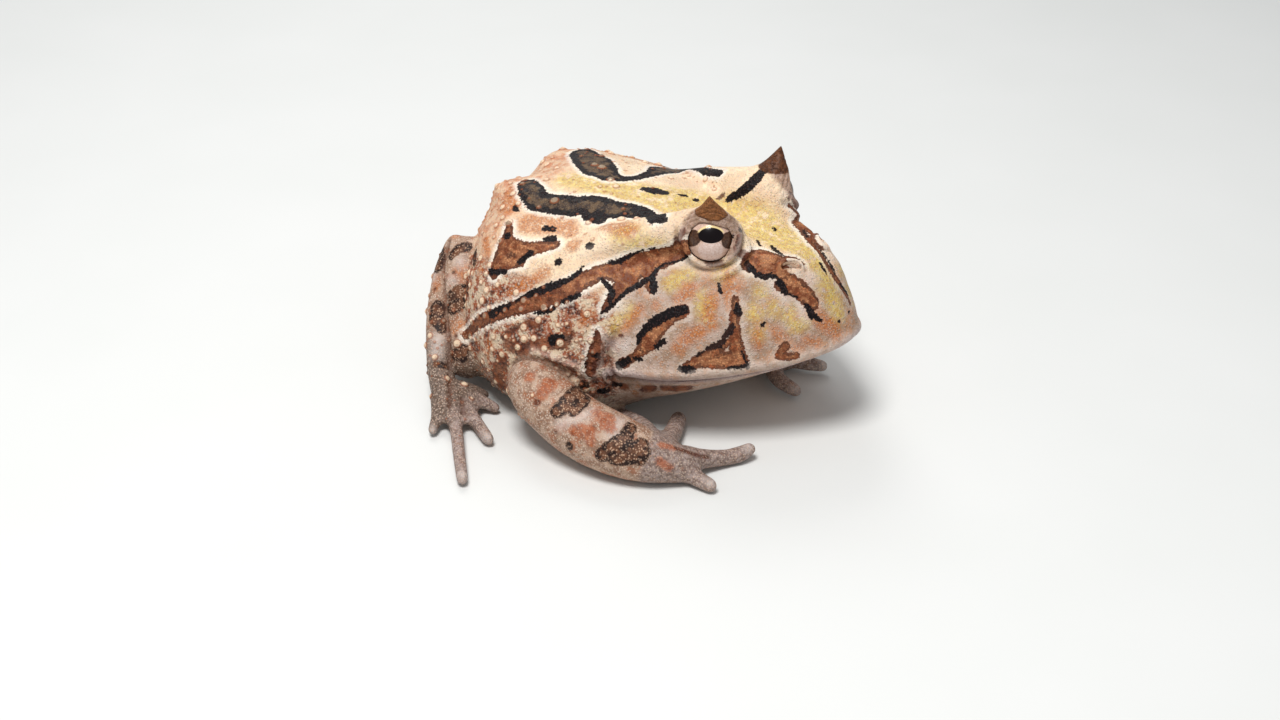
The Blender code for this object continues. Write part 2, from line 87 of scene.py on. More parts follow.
def triples(mesh, word):
    """The three numbers that each vertex holds under a word, such as its place, "co"."""
    found = np.empty(len(mesh.vertices) * 3)
    mesh.vertices.foreach_get(word, found)
    return found.reshape(-1, 3)


def points_of(mesh):
    return triples(mesh, "co")


def normals_of(mesh):
    return triples(mesh, "normal")


def solids_of(names):
    """The corners in mm and the faces of some CAD nodes, and the number of faces of each node."""
    corners, faces, counts = [], [], []
    for name in names:
        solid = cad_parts[name].data
        start = len(corners)
        corners += (points_of(solid) / MM).tolist()
        faces += [tuple(start + i for i in f.vertices) for f in solid.polygons]
        counts.append(len(solid.polygons))
    return corners, faces, counts


def camera_frame():
    """The camera's place in mm, and its directions right, up and back."""
    turn, rise = math.radians(CAMERA_TURN), math.radians(CAMERA_RISE)
    back = Vector((math.sin(turn) * math.cos(rise), -math.cos(turn) * math.cos(rise), math.sin(rise)))
    right = Vector((math.cos(turn), math.sin(turn), 0))
    return Vector(CAMERA_AIM) + back * CAMERA_AWAY, right, back.cross(right), back


SOLIDS = BVHTree.FromPolygons(*solids_of(sorted(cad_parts))[:2])


def traced(strokes):
    """Strokes in mm. A point of three numbers is a pixel of the photograph and a half width in
    pixels, and falls on the solids along the camera's ray. A point of four is in mm already."""
    place, right, up, back = camera_frame()
    result = []
    for stroke in strokes:
        line = []
        for point in stroke:
            if len(point) == 3:
                x, y, half = point
                ray = right * (x - PHOTO_WIDTH / 2) - up * (y - PHOTO_HEIGHT / 2) - back * PHOTO_FOCAL
                spot = SOLIDS.ray_cast(place, ray.normalized())[0]
                if spot is None:
                    continue
                point = (*spot, half * (spot - place).length / PHOTO_FOCAL)
            line.append(point)
        if line:
            result.append(line)
    return result


# Marks are strokes: runs of (x, y, z, half width) on the skin, or of (x, y, half width) in pixels
# of the photograph, which traced() lays on the solids. Most of these pixels were worked back by a
# script from places in mm. Many of those had come from pixels picked one by one. Others were
# given in mm, such as the fourth and fifth of BACK_SPOTS and the last of FLANK.
BANDS = [
    [(-28.5, -10, 43, 2.1), (-25.5, -12.5, 43.2, 3), (-22, -15, 43.2, 2.8), (-18, -15.2, 43.7, 3),
     (-13.5, -13.8, 44, 3.1), (-10.5, -12, 44.2, 3), (-8, -11.2, 44.2, 3), (-4.6, -11, 44, 2.8),
     (-1.6, -9.8, 44.1, 2.4), (1.5, -9.2, 44, 2.1), (4.5, -10, 43.6, 2.1), (7.5, -12, 44, 1.9),
     (10, -15, 46.6, 1.7)],
    [(-9.5, -13, 43.6, 2.2), (-8, -14.6, 43, 1.9), (-6, -14.6, 43, 1.7)],
    [(-27, 10, 43.4, 3.2), (-21.5, 5.5, 45, 4.4), (-16.5, 1.5, 45.8, 4.2), (-12.5, -0.8, 45.8, 2.5),
     (-9.3, -0.3, 45.7, 1.2), (-7, 2.6, 45.5, 1), (-6.5, 7.5, 44.9, 1.6), (-7.5, 13, 43.5, 2.8),
     (-7, 18, 41, 2.8), (-3, 19.5, 40.5, 1.6), (1.5, 16.5, 42.6, 1), (4.5, 14.8, 43.8, 1.2),
     (8.5, 13, 45.8, 1)],
]
# The streak that climbs to the point of the lid is black on both sides. Its foot is brown and on
# the left alone. The marks beside it are brown on the left and black on the right.
LID_STREAK = traced([
    [(729, 199, 4), (738, 194, 5), (748, 187, 6), (757, 178, 6), (764, 169, 5)],
])
LID_FOOT = traced([
    [(722, 196, 4), (718, 199, 2)],
])
LID_MARKS = traced([
    [(770, 166, 3.5), (777, 162, 3), (781, 156, 2.5)],
    [(793, 188, 1.6)],
    [(789, 194, 2.5), (788, 199, 2)],
])
STRIPES = traced([
    [(686, 247, 8), (676, 251, 11), (664, 256, 12), (650, 262, 13), (634, 268, 14), (618, 272, 12),
     (602, 272, 8), (585, 280, 9), (565, 291, 11), (540, 301, 10), (515, 308, 8), (495, 315, 7),
     (480, 322, 7), (468, 335, 5)],
    [(650, 270, 9), (649, 280, 6), (652, 289, 5)],
    [(630, 278, 10), (620, 288, 8), (613, 298, 6), (605, 309, 4)],
    [(-24.5, -22.8, 40.2, 0.8), (-23.5, -25.5, 38, 1.6), (-23.3, -28.5, 35, 1.7), (-23, -31, 32, 1.4)],
    [(-23, -26.5, 37.4, 2), (-18.5, -27.5, 37.6, 2.1), (-14.5, -25.8, 39, 1.5), (-11.5, -24, 40, 1.1)],
    [(-21.5, -29.5, 34.8, 2), (-17.5, -29.2, 36, 1.2)],
    [(735, 300, 4), (736, 310, 5), (734, 320, 5), (735, 332, 6), (735, 342, 7), (737, 352, 8),
     (742, 361, 7)],
    [(728, 342, 4), (718, 350, 5), (706, 356, 6), (694, 363, 6), (686, 368, 5)],
    [(700, 362, 6), (715, 361, 8), (728, 360, 9), (740, 363, 6)],
    [(683, 311, 7), (672, 316, 7), (662, 324, 8), (654, 332, 10), (648, 342, 10), (642, 350, 6),
     (634, 357, 4), (624, 363, 6)],
    [(785, 346, 5), (778, 356, 4), (790, 357, 4), (797, 355, 3)],
    [(597, 331, 1.5), (597, 340, 5), (595, 350, 6), (592, 360, 6), (590, 372, 5)],
])
SNOUT_PATCH = traced([
    [(751, 262, 11), (763, 261, 16), (774, 265, 14), (782, 272, 10)],
    [(781, 285, 7), (788, 284, 11), (797, 287, 9), (806.5, 296, 9), (812, 303.5, 7.6)],
    [(781, 266, 5), (786, 258, 3), (796, 259, 3), (802, 264, 2.5)],
])
FAR_SNOUT = traced([
    [(797, 224, 2.5), (804, 234, 3), (811, 243, 3), (818, 251, 2.5), (824, 260, 2.5), (829, 268, 3),
     (834, 276, 3.5), (840, 285, 3.5), (846, 294, 3), (850, 303, 2)],
    [(790, 205, 2.5), (795, 214, 3)],
])
# Black marks that are drawn once, and those that both sides have; one of these is painted shade under the
# lower jaw.
BLACK_ONCE = traced([
    [(771, 246, 2), (776, 251, 3.5), (782, 256, 2.5)],
    [(758, 241, 1.5), (760, 246, 1.8)],
    [(747, 263, 3), (750, 268, 3.5), (756, 274, 3), (763, 277, 3.3), (770, 276, 3.3), (776, 277, 2.2)],
    [(779, 282, 3.5), (784, 287, 3.5), (783, 291, 2.5), (790, 295, 1.2), (797, 297, 1.2)],
    [(805, 304, 1.8), (809, 309, 3.3), (812, 315, 4.2), (817, 319, 2.5), (821, 321, 1.2)],
    [(839, 321, 1.6)],
    [(849, 312, 1.5)],
    [(765, 322, 1.5), (762, 326, 1.7)],
    [(719, 284, 1.5), (720, 293, 2.3)],
    [(823, 268, 1.8), (826, 273, 1.5)],
])
BLACK = traced([
    [(737, 305, 2), (738, 312, 4.5)],
    [(732, 326, 3), (729, 332, 3.8), (724, 338, 2.5)],
    [(724, 340, 2.5), (719, 345, 4.3), (712, 347, 2.8), (705, 350, 1.8), (697, 356, 1.5)],
    [(682, 369, 4), (691, 370, 4.5)],
    [(742, 352, 1.2), (745, 360, 1.8), (748, 366, 2.4), (738, 367, 2.2), (728, 368, 1.4)],
    [(684, 310, 5), (676, 312, 5.5), (667, 315, 5.5), (656, 321, 5.5), (646, 328, 4.5), (640, 336, 3.3),
     (638, 343, 2.2)],
    [(664, 341, 2.8), (657, 346, 3.3)],
    [(641, 359, 2.6), (634, 358, 1.5)],
    [(628, 360, 3.8), (620, 365, 4.4)],
    [(688, 256, 1.6), (680, 261, 1.4), (665, 264, 1.5), (656, 270, 2), (652, 277, 3), (654, 286, 4.2),
     (654, 291, 3.4)],
    [(647, 279, 3), (640, 285, 3.2), (632, 288, 2.8), (622, 296, 2.2), (612, 306, 1.8), (602, 313, 1.5)],
    [(601, 279, 2.2), (607, 284, 2.5), (612, 292, 3.3), (610, 303, 2.5)],
    [(608, 263, 1.5), (620, 261, 2.8), (630, 256, 1.8), (640, 251, 1.4), (655, 248, 0.8)],
    [(583, 267, 1.2), (578, 273, 2.6), (570, 279, 2.8), (560, 283, 4), (545, 289, 5), (530, 294, 3),
     (516, 301, 1.5)],
    [(510, 305, 2.5), (503, 309, 4), (492, 314, 5)],
    [(579, 295, 2.2), (570, 299, 3.3), (560, 303, 2.4), (550, 311, 2.3), (535, 313, 1.7)],
    [(553, 239, 4.5), (545, 239, 3)],
    [(530, 253, 4), (520, 262, 3)],
    [(505, 272, 3), (490, 272, 3.5)],
    [(507, 236, 4)],
    [(590, 246, 4.8)],
    [(558, 262, 4.2)],
    [(553, 340, 6), (561, 338, 4)],
    [(592, 355, 3), (598, 356, 3)],
    [(586, 364, 2)],
    # Painted shade under the lower jaw, in black.
    [(600, 391, 3.5), (608, 391, 3)],
    [(615, 383, 4), (620, 384, 3)],
])
# Dark spots that are not the same on both sides.
BACK_SPOTS = traced([
    [(636, 210, 6), (646, 214, 7.5), (655, 219, 7), (664, 220, 4)],
    [(584, 214, 4), (590, 219, 5), (600, 217, 4)],
    [(644, 189, 4), (655, 191, 6.4), (665, 193, 4.5)],
    [(680, 195, 2.3), (686, 196, 1.8)],
    [(695, 200, 2.5), (697, 200, 2.3)],
    [(-16, -21.5, 42, 0.7), (-14.6, -20.6, 42.2, 0.8)],
    [(515, 208, 3.2), (516, 210, 3.2)],
    [(820, 263, 1.6), (822, 267, 1.6)],
    [(773.5, 227.5, 1.6), (776, 230, 1.6)],
    [(803, 231, 1.3), (807, 237, 1)],
    [(820, 250, 1), (826, 258, 1), (832, 268, 1.8), (835, 274, 1.5)],
    [(840, 284, 1.5), (844, 289, 2), (848, 295, 1.2)],
    [(819, 240, 1.2)],
])
# Dark marks of the flank: partly its own blotches, partly painted shade, under the lower jaw (the first
# three strokes) and in the armpit.
FLANK = traced([
    [(643, 390, 3.7), (652, 387, 5.6)],
    [(664, 386, 5.1), (677, 388, 6.5), (689, 388, 4.7)],
    [(624, 386, 4.6)],
    [(503, 338, 3), (515, 328, 3), (528, 323, 3), (538, 327, 2.5)],
    [(508, 345, 7), (520, 349, 7), (535, 345, 6), (550, 343, 7), (563, 342, 8), (570, 333, 5)],
    [(503, 362, 8), (497, 374, 9), (500, 385, 9)],
    [(560, 362, 3), (570, 368, 3), (575, 372, 2)],
    [(604, 338, 2.4), (600, 349, 5.6), (596, 362, 6.1), (592, 371, 4.7), (595, 377, 3.7)],
])
RUSTY = traced([
    [(492, 293, 3)],
    [(480, 301, 2.6)],
    [(588, 312, 1.5)],
    [(621, 336, 2.6)],
    [(740, 238, 4.8), (737, 250, 6), (744, 256, 4.8)],
    [(722, 263, 3.6), (710, 264, 3.6)],
    [(706, 262, 2), (715, 263, 3), (722, 262, 2)],
    [(681, 240, 6), (684, 231, 3)],
])
PALE = traced([
    [(741, 228, 3.5)],
    [(690, 262, 3), (700, 266, 3)],
    [(770, 285, 5), (786, 300, 4)],
    [(800, 306, 3), (806, 318, 3)],
    [(600, 345, 3), (612, 345, 6), (625, 345, 8)],
    [(610, 300, 6), (622, 306, 5)],
])
ORANGE = traced([
    [(690, 335, 8), (678, 348, 7)],
    [(712, 326, 5)],
    [(640, 308, 5), (625, 328, 5)],
    [(806, 300, 5.8), (812, 311, 7.2), (822, 321, 8.7), (832, 329, 8.7), (837, 336, 5.8)],
    [(806, 340, 5.8), (816, 342, 5.8)],
    [(776, 332, 5.8), (782, 339, 7.2), (788, 345, 7.2)],
    [(779, 354, 5.8), (790, 351, 7.3), (799, 349, 5.8)],
    [(757, 336, 5.8), (758, 345, 5.8)],
    [(790, 290, 7.2), (800, 285, 7.2), (806, 294, 5.8)],
    [(712, 300, 7.3), (708, 320, 7.3)],
    [(700, 330, 7.2), (690, 338, 5.8)],
    [(730, 275, 7.2), (728, 290, 7.3), (732, 305, 5.8)],
    [(690, 290, 8.7), (680, 300, 7.2)],
    [(545, 272, 8), (533, 280, 6), (515, 289, 6)],
    [(486, 240, 6), (487, 252, 5)],
    [(480, 272, 5)],
    [(585, 322, 7), (590, 312, 5)],
    [(597, 298, 5)],
    [(490, 343, 4), (487, 355, 4)],
    [(573, 245, 8)],
    [(565, 228, 7), (548, 222, 6)],
    [(735, 290, 6)],
    [(655, 305, 4)],
    [(-14, -32.5, 32, 2.5), (-16, -34.5, 30, 1.8)],
    [(-28, -17, 41, 3), (-29, -13, 42, 2.5)],
    [(-20, -21, 41.5, 3.2), (-12, -19, 42.3, 2.5)],
    [(-10, -20, 41.5, 2)],
    [(-2, -17, 41.5, 2), (5, -17, 42, 2.2)],
])
YELLOW = traced([
    [(672, 282, 9), (690, 272, 7)],
    [(725, 273, 9)],
    [(762, 293, 7)],
    [(755, 312, 8)],
    [(775, 308, 8)],
    [(790, 314, 8)],
    [(796, 325, 7), (803, 322, 6)],
    [(758, 333, 6)],
    [(702, 300, 8), (705, 315, 6)],
    [(628, 310, 6), (614, 330, 5)],
    [(832, 300, 6), (838, 312, 5)],
    [(822, 285, 6)],
    [(812, 262, 6)],
    [(4, -18, 41.5, 3), (11, -17, 42.6, 2)],
])
YELLOW_BACK = [
    [(-20, -6, 45, 3), (-10, -5, 45.5, 4), (0, -3, 45, 5), (8, 0, 44, 7), (16, 0, 43.5, 7),
     (25, 1, 42.5, 6), (33, 1, 41, 4.5), (38, 0, 39.5, 3.5), (42, -2, 36.5, 2.6), (45, -3, 32.5, 2),
     (46.5, -3, 29.5, 1.5)],
]
# Folds and ridges: height, width and strokes. A negative height is a groove.
FOLDS = [
    # The ridge from the eye to the snout.
    (0.5, 1.4, [
        [(27.5, -11.5, 42.5, 0), (31, -8.8, 42, 0), (34.5, -7.2, 41, 0), (38, -5.6, 39.8, 0),
         (42, -4.4, 37, 0)],
    ]),
    # The nostril: its mound, the groove over it and its slit.
    (0.55, 1.2, traced([
        [(786, 266, 3), (795, 266, 3)],
    ])),
    (-0.35, 0.45, traced([
        [(776, 264, 0), (781.5, 259.5, 0), (794, 258.5, 0), (802, 262, 0), (805, 271, 0)],
    ])),
    (-1.4, 0.3, traced([
        [(783.5, 267.5, 1), (787, 266, 1.5), (791, 265.5, 1.7), (795, 266.5, 1.6), (798, 268, 1)],
    ])),
    # Wrinkles behind the cheek.
    (-0.35, 0.4, traced([
        [(603, 345, 0), (603, 360, 0), (607, 375, 0), (615, 384, 0)],
        [(607, 343, 0), (608, 360, 0), (612, 372, 0), (618, 379, 0)],
        [(600, 352, 0), (599, 366, 0), (603, 380, 0), (611, 390, 0)],
    ])),
    # Creases of the hind leg and the foot.
    (-0.7, 0.6, traced([
        [(448, 240, 0), (446, 252, 0), (444, 265, 0), (443, 280, 0), (444, 295, 0), (445, 310, 0),
         (447, 325, 0), (449, 340, 0), (449, 352, 0), (450, 368, 0)],
        [(450, 376, 0), (450, 392, 0), (449, 406, 0)],
        [(462, 398, 0), (464, 413, 0)],
    ])),
    # The crease over the top of the arm.
    (-0.8, 0.6, traced([
        [(571, 377, 0), (560, 369, 0), (547, 362, 0), (532, 358, 0), (517, 360, 0), (512, 366, 0)],
    ])),
    # Folds behind the cheek, above the corner of the mouth.
    (-0.5, 0.7, [
        [(8.3, -30.7, 26, 0), (7.6, -31.4, 22, 0), (7.5, -31.4, 18.5, 0), (8.6, -30.6, 16.2, 0)],
    ]),
    (0.45, 0.8, [
        [(6.6, -31.2, 26, 0), (5.9, -32, 22, 0), (5.6, -32.3, 18, 0), (6.6, -31.5, 14.6, 0)],
    ]),
    (-0.35, 0.6, [
        [(4.6, -32, 25, 0), (3.9, -33, 21, 0), (3.4, -33.6, 17, 0), (4.4, -32.8, 13.6, 0)],
    ]),
    # The fold of the flank over the arm.
    (0.5, 0.9, [
        [(-8, -36.6, 19.6, 0), (-3, -36.6, 19.8, 0), (1.5, -35.2, 18.4, 0), (4.4, -33.2, 15.6, 0)],
    ]),
    (-0.4, 0.6, [
        [(-10, -37.4, 18, 0), (-4, -38, 18, 0), (0, -37, 17.4, 0), (3, -34.6, 15, 0)],
    ]),
    # The ridge behind the eye.
    (0.3, 1.2, [
        [(16, -14.8, 47.6, 0), (10.5, -17, 45, 0), (4, -19.4, 41.8, 0), (-4, -24, 39, 0)],
    ]),
    # A shallow groove down the cheek.
    (-0.25, 0.8, [
        [(30.5, -18, 31, 0), (29, -21.5, 26, 0), (25, -24.6, 22, 0)],
    ]),
]
ARM_DARK = traced([
    [(584, 385, 5), (576, 394, 9), (567, 403, 9), (558, 411, 8)],
    [(586, 397, 6), (583, 404, 5), (574, 411, 6)],
    [(631, 426, 6), (626, 438, 8), (612, 447, 8), (601, 456, 7)],
    [(642, 444, 7), (632, 454, 11), (616, 458, 9)],
    [(645, 451, 6), (641, 461, 5)],
    [(569, 446, 5)],
    [(6.5, 40, 14.5, 2.2), (6.5, 44, 13, 2)],
    [(17, 33.5, 11.5, 1.7), (19, 30, 10, 2.1), (20, 27, 7.5, 1.5)],
    [(-3, 41, 18.5, 1.3), (-4, 44.5, 16.5, 1.5)],
])
ARM_RUSTY = traced([
    [(573, 433, 2.8)],
    [(593, 428, 2.8)],
    [(604, 420, 3)],
    [(556, 432, 2)],
    [(537, 402, 4)],
    [(675, 448, 2.5), (690, 453, 3), (708, 457, 2)],
])
ARM_ORANGE = traced([
    [(550, 384, 8), (543, 394, 6)],
    [(530, 377, 6)],
    [(575, 430, 6), (588, 432, 8), (590, 441, 6)],
    [(606, 418, 9), (610, 428, 6), (597, 412, 5)],
    [(660, 462, 4.5), (670, 468, 3.5)],
    [(662, 445, 4), (671, 447, 3.5)],
    [(543, 367, 3)],
])
ARM_PALE = traced([
    [(560, 424, 5), (580, 418, 4), (592, 412, 4)],
    [(620, 420, 4), (612, 436, 4)],
])
LEG_DARK = traced([
    [(441, 252, 5.5), (439, 260, 7), (437, 267, 6)],
    [(452, 255, 5), (459, 248, 5.5), (467, 246, 5.5)],
    [(453, 297, 7), (460, 292, 8), (467, 290, 7)],
    [(451, 309, 6), (458, 304, 8), (465, 303, 6)],
    [(438, 308, 8), (436, 318, 8), (442, 329, 5)],
    [(455, 355, 6), (463, 350, 6), (463, 358, 5)],
    [(436, 364, 3.5), (445, 366, 3.5)],
    [(475, 253, 4), (475, 263, 3.5)],
    [(-45, -8.5, 17, 1.3), (-46.5, -9.5, 12, 2), (-45.5, -8.5, 6.5, 1.5)],
    [(-45, -18, 17.5, 1.5), (-46.5, -19, 12, 2.4), (-45.5, -18, 6, 1.6)],
    [(-41, -27, 14.5, 1.4), (-42, -28, 9.5, 2.1), (-40.5, -27, 5, 1.4)],
    [(-43.5, -19.5, 29, 1.1), (-44, -20, 26, 1.5), (-43, -22, 23.5, 1.1)],
])
LEG_RUSTY = traced([
    [(454, 272, 2.3)],
    [(435, 289, 1.8)],
    [(456, 336, 1.8)],
])
LEG_ORANGE = traced([
    [(455, 235, 4)],
    [(437, 278, 4), (436, 287, 5)],
    [(463, 268, 6), (455, 271, 4), (463, 276, 5)],
    [(460, 325, 6), (453, 331, 4)],
])
LEG_PALE = traced([
    [(437, 340, 7), (436, 352, 6)],
    [(434, 276, 4)],
    [(452, 280, 4)],
    [(460, 262, 5)],
])
# The paler ends of some toes and fingers.
TIPS = traced([
    [(432, 430, 4)],
    [(463, 474, 5)],
    [(486, 436, 5)],
    [(748, 446, 4)],
    [(711, 482, 4)],
    [(797, 388, 4)],
    [(825, 365, 4)],
])
NOSTRIL_RIM = traced([
    [(784, 263.5, 1), (791, 262.5, 1), (798, 264, 1)],
    [(785, 270, 1), (792, 271, 1.2), (798, 269, 1)],
])


def set_points(mesh, points):
    mesh.vertices.foreach_set("co", points.ravel())
    mesh.update()


def object_of(name, mesh):
    piece = bpy.data.objects.new(name, mesh)
    bpy.context.scene.collection.objects.link(piece)
    return piece


def tree_of(mesh):
    points = points_of(mesh) / MM
    return BVHTree.FromPolygons(points.tolist(), [tuple(f.vertices) for f in mesh.polygons])


def attribute(mesh, name, values):
    layer = mesh.attributes.new(name, "FLOAT", "POINT")
    layer.data.foreach_set("value", values.astype(np.float32))


def mirrored(strokes):
    return [[(x, -y, z, r) for x, y, z, r in stroke] for stroke in strokes]


def both_sides(strokes):
    return strokes + mirrored(strokes)


def mouth_line(lift=0):
    """The line of the mouth, from the corner of one side round the snout to the other, raised by
    lift. It follows the slot between the head and the lower jaw."""
    half = [(7.2, 31.3, 15.2), (12, 29.6, 15.5), (17, 27.6, 15.8), (22, 25.3, 16.3), (27, 22.6, 17.1),
            (32, 19.2, 18.1), (36, 16.1, 18.8), (40, 12.6, 19.5), (43.5, 9.2, 20.3), (46.5, 6, 21.2),
            (48.6, 3, 22.1), (49.3, 0, 22.4)]
    right = [(x, -y, z + lift, 0) for x, y, z in half]
    left = [(x, y, z + lift, 0) for x, y, z in half[-2::-1]]
    return [right + left]


def snapped(strokes, tree):
    """The same strokes with each point moved to the nearest place on the skin."""
    result = []
    for stroke in strokes:
        line = []
        for x, y, z, r in stroke:
            place = tree.find_nearest(Vector((x, y, z)))[0]
            line.append((place.x, place.y, place.z, r))
        result.append(line)
    return result


def smooth(t):
    """0 up to 0, 1 from 1 on, eased between."""
    t = np.clip(t, 0, 1)
    return t * t * (3 - 2 * t)


def stroke_distance(points, strokes):
    """The signed distance in mm from each point to the nearest stroke: negative inside it."""
    best = np.full(len(points), FAR)
    for stroke in strokes:
        line = vector(stroke)
        if len(line) == 1:
            line = np.vstack([line, line])
        low, high = line[:, :3].min(0) - REACH, line[:, :3].max(0) + REACH
        near = np.nonzero(((points > low) & (points < high)).all(1))[0]
        if not len(near):
            continue
        here = points[near]
        for a, b in zip(line[:-1], line[1:]):
            along = b[:3] - a[:3]
            length = max(along @ along, 1e-9)
            t = np.clip((here - a[:3]) @ along / length, 0, 1)
            gap = np.linalg.norm(here - a[:3] - t[:, None] * along, axis=1)
            gap -= a[3] + (b[3] - a[3]) * t
            best[near] = np.minimum(best[near], gap)
    return best


def bank(points, strokes, height, width):
    """How far each point rises along the strokes; a negative height is a groove. All in mm."""
    away = stroke_distance(points, strokes)
    return height * np.exp(-np.maximum(away, 0) ** 2 / width ** 2)


def neighbours(mesh):
    """The two ends of every edge, and how many edges meet at each vertex."""
    edges = np.empty(len(mesh.edges) * 2, np.int64)
    mesh.edges.foreach_get("vertices", edges)
    a, b = edges.reshape(-1, 2).T
    count = len(mesh.vertices)
    return a, b, np.bincount(a, minlength=count) + np.bincount(b, minlength=count)


def relax(mesh, rounds, weight):
    """Evens the surface: each vertex moves towards the mean of its neighbours, by its weight."""
    a, b, degree = neighbours(mesh)
    points = points_of(mesh)
    for _ in range(rounds):
        total = np.empty_like(points)
        for axis in range(3):
            total[:, axis] = np.bincount(a, points[b, axis], len(points))
            total[:, axis] += np.bincount(b, points[a, axis], len(points))
        points += (total / degree[:, None] - points) * weight[:, None]
    set_points(mesh, points)


def spread(mesh, values, rounds):
    """Blurs a value over the surface."""
    a, b, degree = neighbours(mesh)
    for _ in range(rounds):
        total = np.bincount(a, values[b], len(values)) + np.bincount(b, values[a], len(values))
        values = 0.5 * values + 0.5 * total / degree
    return values


def swollen(solid):
    """A copy of a node's mesh, welded and grown by SWELL, so that it overlaps its neighbours."""
    copy = solid.copy()
    part = bmesh.new()
    part.from_mesh(copy)
    bmesh.ops.remove_doubles(part, verts=part.verts, dist=2e-6)
    part.normal_update()
    for v in part.verts:
        v.co += v.normal * SWELL * MM
    part.to_mesh(copy)
    part.free()
    return copy


def build_skin():
    """One closed skin over all the nodes of flesh."""
    build = bmesh.new()
    for name in FLESH:
        copy = swollen(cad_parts[name].data)
        build.from_mesh(copy)
        bpy.data.meshes.remove(copy)
    mesh = bpy.data.meshes.new("skin")
    build.to_mesh(mesh)
    build.free()
    skin = object_of("skin", mesh)
    remesh = skin.modifiers.new("even", "REMESH")
    remesh.mode = "VOXEL"
    remesh.voxel_size = VOXEL * MM
    graph = bpy.context.evaluated_depsgraph_get()
    even = bpy.data.meshes.new_from_object(skin.evaluated_get(graph))
    skin.modifiers.clear()
    skin.data = even
    bpy.data.meshes.remove(mesh)
    even.name = "skin"
    return skin


def eye_distance(points):
    return np.minimum(np.linalg.norm(points - vector(EYE_CENTRE), axis=1),
                      np.linalg.norm(points - vector(EYE_CENTRE) * (1, -1, 1), axis=1))


def shape_skin(skin):
    """Smooths the facets of the solids away, less round the eyes and low at the sides."""
    mesh = skin.data
    points = points_of(mesh) / MM
    weight = np.full(len(points), 0.5)
    weight *= 0.1 + 0.9 * smooth((eye_distance(points) - 6) / 5)
    x, y, z = points.T
    weight[(np.abs(y) > 15) & (z < 9) & (x > -40)] *= 0.6
    rounds = int(26 * (0.36 / VOXEL) ** 2) + 2
    relax(mesh, rounds, weight)
    points = points_of(mesh) - normals_of(mesh) * SWELL * TAKEN_BACK * MM
    points[:, 2] = np.maximum(points[:, 2], 0)
    set_points(mesh, points)


def refine(skin):
    """Halves the faces round the eyes, nostrils and mouth, for their rims and creases."""
    places = [[(*EYE_CENTRE, FINE_EYE)], [(*NOSTRIL, FINE_NOSTRIL)]]
    build = bmesh.new()
    build.from_mesh(skin.data)
    centres = vector([f.calc_center_median() for f in build.faces]) / MM
    lips = snapped(mouth_line(), tree_of(skin.data))
    near = stroke_distance(centres, both_sides(places)) < 0
    near |= stroke_distance(centres, lips) < FINE_MOUTH
    edges = {e for f, chosen in zip(build.faces, near) if chosen for e in f.edges}
    bmesh.ops.subdivide_edges(build, edges=list(edges), cuts=1, use_grid_fill=True)
    build.to_mesh(skin.data)
    build.free()


def sculpt_skin(skin, limb):
    """Lids, folds, nostrils, lips and warts; returns how far each point rose and sank, and the warts."""
    mesh = skin.data
    tree = tree_of(mesh)
    points = points_of(mesh) / MM
    normals = normals_of(mesh)
    rises = [bank(points, snapped(mouth_line(lift), tree), height, width) for lift, height, width in LIPS]
    for height, width, strokes in FOLDS:
        rises.append(bank(points, snapped(both_sides(strokes), tree), height, width))
    rises += [lid_relief(points, side) for side in (-1, 1)]
    relief = sum(rises)
    # How far each point sank, which later sets the painted shade in the grooves.
    sunk = sum(np.minimum(rise, 0) for rise in rises)
    points += normals * relief[:, None]
    for side in (-1, 1):
        clear_eye(points, side)
    set_points(mesh, points * MM)
    warts = raise_warts(mesh, limb)
    points = points_of(mesh)
    points[:, 2] = np.maximum(points[:, 2], 0)
    set_points(mesh, points)
    return relief, sunk, warts


def eye_axes(side):
    """The gaze of the eye, the direction across it and the direction up it."""
    gaze = Vector((EYE_AXIS[0], EYE_AXIS[1] * side, EYE_AXIS[2])).normalized()
    across = Vector((0, 0, 1)).cross(gaze).normalized()
    return gaze, across, gaze.cross(across)


def eye_frame(points, side):
    """Each point as seen by one eye: forwards across it, up it, out of it, and from its axis."""
    gaze, across, up = (vector(axis) for axis in eye_axes(side))
    away = points - vector(EYE_CENTRE) * (1, side, 1)
    across = -across * side
    return away @ across, away @ up, away @ gaze, np.hypot(away @ across, away @ up)


def lid_relief(points, side):
    """The rims, grooves and folds that ring one eye."""
    a, u, g, ring = eye_frame(points, side)
    outside = smooth((g + 1.5) / 1.5) * (ring < 13) * (ring > 4)
    low = smooth((2.6 - u) / 2)
    front = smooth((a + 1) / 5)
    lift = 0.45 * np.exp(-((ring - 6.2) / 0.45) ** 2) * low
    lift -= 0.45 * np.exp(-((ring - 7.2) / 0.4) ** 2) * low
    lift += 0.4 * np.exp(-((ring - 8.4) / 0.7) ** 2) * (0.25 + 0.75 * front) * low
    lift -= 0.35 * np.exp(-((ring - 9.7) / 0.5) ** 2) * (0.2 + 0.8 * front) * low
    crown = smooth((u - 1.5) / 1.5) * (np.abs(a) < 6)
    for level, depth in ((3.6, 0.22), (4.5, 0.2), (5.4, 0.16)):
        lift -= depth * np.exp(-((u + 0.05 * a * a - level) / 0.2) ** 2) * crown
    return lift * outside


def clear_eye(points, side):
    """Keeps the lids just off the ball of the eye."""
    away = points - vector(EYE_CENTRE) * (1, side, 1)
    reach = np.linalg.norm(away, axis=1)
    clear = EYE_RADIUS + LID_GAP
    inside = reach < clear
    points[inside] += (away * (clear / np.maximum(reach, 1e-6) - 1)[:, None])[inside]


